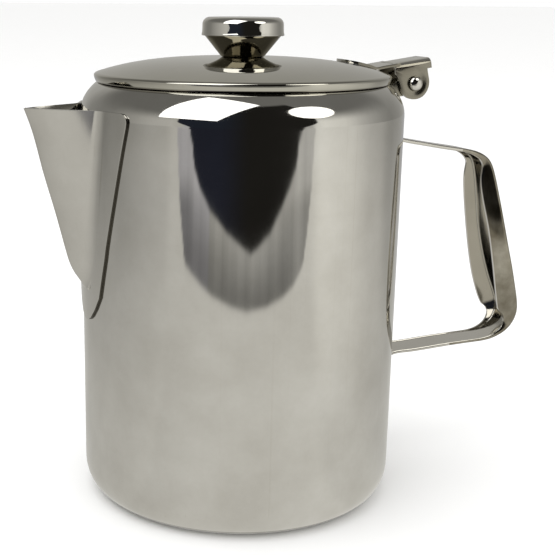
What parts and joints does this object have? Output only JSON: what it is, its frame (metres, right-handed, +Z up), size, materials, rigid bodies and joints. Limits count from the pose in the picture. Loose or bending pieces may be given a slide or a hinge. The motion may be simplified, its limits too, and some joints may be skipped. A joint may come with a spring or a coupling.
{
  "type": "coffee percolator",
  "caption": "Stainless steel stovetop percolator: straight round pot, V spout, open channel handle, domed hinged lid with a knob, pump tube and perforated basket inside.",
  "frame": {"origin": "on the pot's axis, in the plane that the pot stands on", "axes": "+Z up along the pot's axis, +X towards the handle and the lid hinge, -X towards the spout; mirrored about the XZ plane"},
  "size_m": [0.2229, 0.13, 0.196],
  "materials": {
    "polished_steel": "polished stainless steel",
    "satin_steel": "satin stainless steel",
    "plain_steel": "plain stainless steel"
  },
  "bodies": {
    "pot": {"pot_body": "polished_steel", "spout": "polished_steel", "handle": "polished_steel", "hinge_bracket": "polished_steel", "hinge_pin": "polished_steel"},
    "lid": {"lid_shell": "satin_steel", "lid_skirt": "satin_steel", "hinge_leaf": "polished_steel", "knob_cone": "polished_steel", "knob_cap": "polished_steel", "knob_bush": "plain_steel", "knob_washer": "plain_steel", "knob_screw": "plain_steel"},
    "pump": {"pump_tube": "plain_steel", "pump_foot": "plain_steel", "basket_stop": "plain_steel"},
    "basket": {"basket": "plain_steel", "basket_sleeve": "plain_steel"},
    "spreader": {"spreader": "plain_steel"}
  },
  "joints": [
    {"name": "lid_hinge", "type": "hinge", "parent": "pot", "child": "lid", "pos_m": [0.075, 0, 0.1691], "axis": [0, 1, 0], "range_deg": [0, 105]},
    {"name": "pump_lift", "type": "slide", "parent": "pot", "child": "pump", "axis": [0, 0, 1], "range_m": [0, 0.008]},
    {"name": "basket_lift", "type": "slide", "parent": "pump", "child": "basket", "axis": [0, 0, 1], "range_m": [0, 0.01]},
    {"name": "spreader_lift", "type": "slide", "parent": "basket", "child": "spreader", "axis": [0, 0, 1], "range_m": [0, 0.004]}
  ]
}
